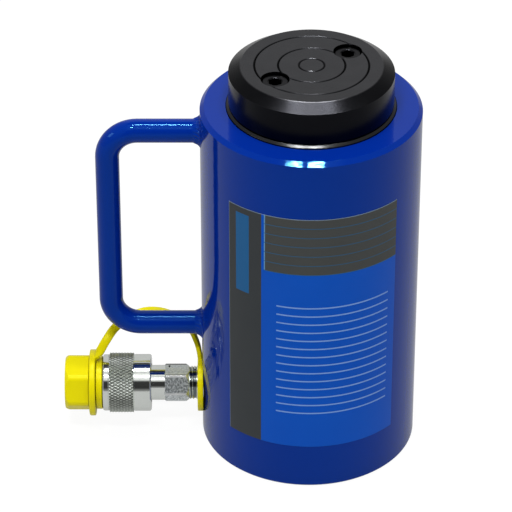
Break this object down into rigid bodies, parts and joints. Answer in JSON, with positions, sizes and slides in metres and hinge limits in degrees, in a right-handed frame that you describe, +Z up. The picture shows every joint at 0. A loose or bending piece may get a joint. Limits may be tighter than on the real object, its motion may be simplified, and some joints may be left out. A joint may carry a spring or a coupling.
{
  "type": "hydraulic cylinder",
  "caption": "Upright single-acting hydraulic cylinder with a sliding plunger, round saddle, side carrying handle and a capped screw coupler near the base.",
  "frame": {"origin": "centre of the flat base", "axes": "+Z up along the plunger, towards the saddle; the handle and the oil port point along -X"},
  "size_m": [0.1729, 0.105, 0.207],
  "materials": {
    "blue_paint": "gloss enamel over a slightly orange-peel primer",
    "black_oxide": "blackened, fine turned lines on the top face",
    "ground_steel": "ground and hard chromed",
    "machined_steel": "as turned",
    "spring_steel": "oiled drawn wire",
    "plated_steel": "bright zinc plating, knurled on the grip",
    "yellow_plastic": "moulded, satin",
    "seal_rubber": "matt",
    "guide_plastic": "matt"
  },
  "bodies": {
    "barrel": {"cylinder_body": "blue_paint", "carry_handle": "blue_paint", "gland_nut": "black_oxide", "gland_wear_ring": "guide_plastic", "gland_o_ring": "seal_rubber", "rod_wiper": "seal_rubber", "spring_anchor": "machined_steel", "return_spring": "spring_steel", "coupler_body": "plated_steel", "coupler_valve_guide": "machined_steel", "coupler_valve_spring": "spring_steel", "coupler_o_ring": "seal_rubber", "collar_retaining_ring": "spring_steel", "tether_strap": "yellow_plastic"},
    "plunger": {"plunger_rod": "ground_steel", "piston_head": "machined_steel", "piston_seal": "seal_rubber", "piston_backup_ring": "guide_plastic", "piston_wear_ring": "guide_plastic", "spring_hanger": "machined_steel", "hanger_nut": "black_oxide", "saddle": "black_oxide", "saddle_screw_1": "black_oxide", "saddle_screw_2": "black_oxide"},
    "collar": {"coupler_collar": "plated_steel"},
    "poppet": {"coupler_poppet": "machined_steel"},
    "cap_loop": {"tether_cap_loop": "yellow_plastic"},
    "cap": {"dust_cap": "yellow_plastic", "cap_gasket": "seal_rubber"}
  },
  "joints": [
    {"name": "plunger_slide", "type": "slide", "parent": "barrel", "child": "plunger", "axis": [0, 0, 1], "range_m": [0, 0.1], "stiffness_N_per_m": 2000, "springref_m": -0.05, "deforming": ["return_spring"]},
    {"name": "collar_spin", "type": "hinge", "parent": "barrel", "child": "collar", "pos_m": [-0.09, 0, 0.0245], "axis": [-1, 0, 0], "continuous": true},
    {"name": "poppet_slide", "type": "slide", "parent": "barrel", "child": "poppet", "axis": [1, 0, 0], "range_m": [0, 0.003], "stiffness_N_per_m": 1500, "springref_m": -0.004, "deforming": ["coupler_valve_spring"]},
    {"name": "cap_pull", "type": "slide", "parent": "barrel", "child": "cap_loop", "axis": [-1, 0, 0], "range_m": [0, 0.009], "deforming": ["tether_strap"]},
    {"name": "cap_turn", "type": "hinge", "parent": "cap_loop", "child": "cap", "pos_m": [-0.11, 0, 0.0245], "axis": [-1, 0, 0], "range_deg": [0, 1080]}
  ],
  "couplings": [
    {"joint": "cap_pull", "follows": "cap_turn", "m_per_rad": 0.00047746}
  ]
}
